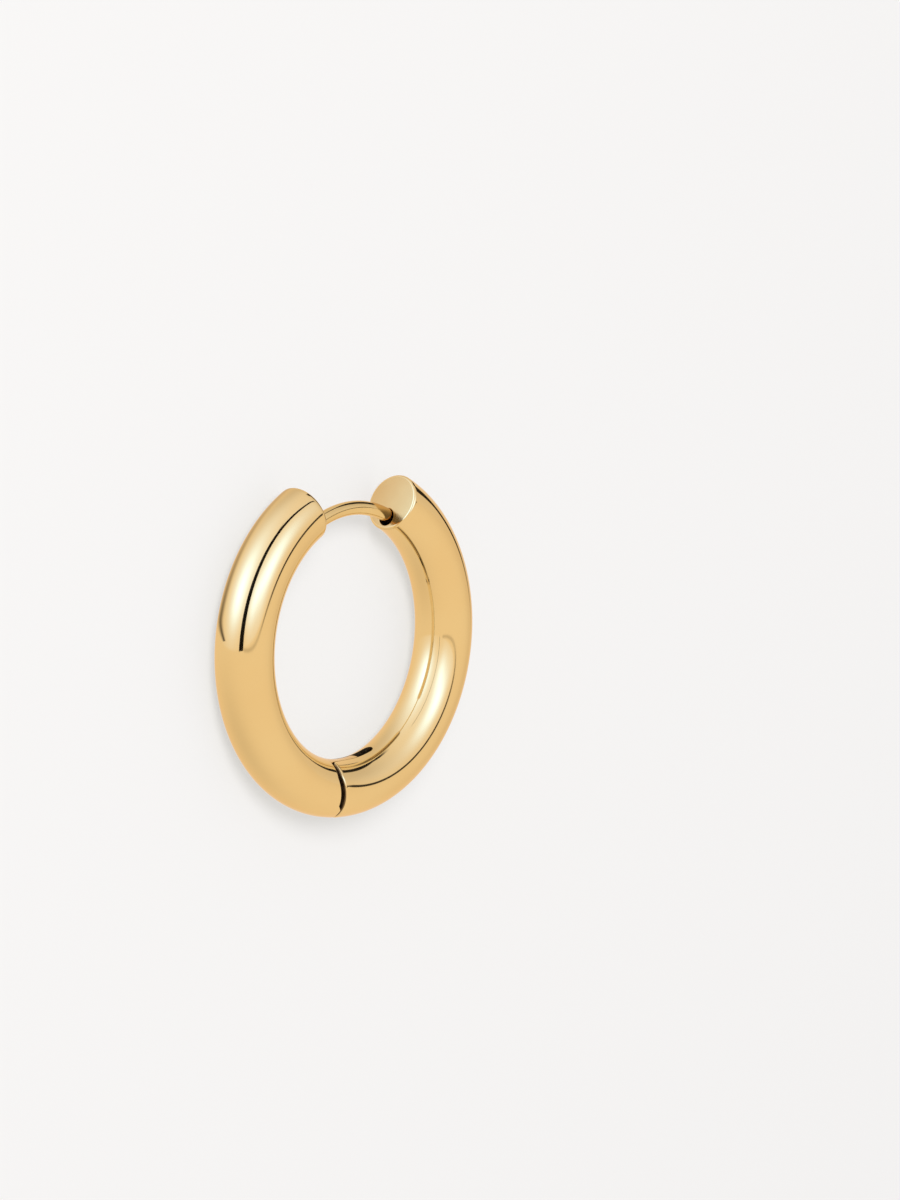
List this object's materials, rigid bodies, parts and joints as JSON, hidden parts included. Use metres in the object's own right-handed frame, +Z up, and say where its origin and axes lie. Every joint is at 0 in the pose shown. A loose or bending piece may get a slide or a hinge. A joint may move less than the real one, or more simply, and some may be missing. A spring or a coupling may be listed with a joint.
{
  "type": "hoop earring",
  "caption": "Round hoop earring of polished gold-coloured bar: a hinged arc carries a curved post that plugs into a hole in the other arc. It lies on its side.",
  "frame": {"origin": "centre of the hoop, on the surface that it lies on", "axes": "+Z up along the hoop's axis, -Y to the hinge, +Y to the open top that the ear post bridges"},
  "size_m": [0.02, 0.0197, 0.0033],
  "materials": {
    "gold": "mirror-polished gold plating",
    "steel": "drawn wire"
  },
  "bodies": {
    "receiver": {"receiver_half": "gold", "hinge_pin": "steel"},
    "post_arc": {"post_half": "gold"}
  },
  "joints": [
    {"name": "hoop_hinge", "type": "hinge", "parent": "receiver", "child": "post_arc", "pos_m": [0.00128, -0.00912, 0.00165], "axis": [0, 0, 1], "range_deg": [0, 50]}
  ]
}
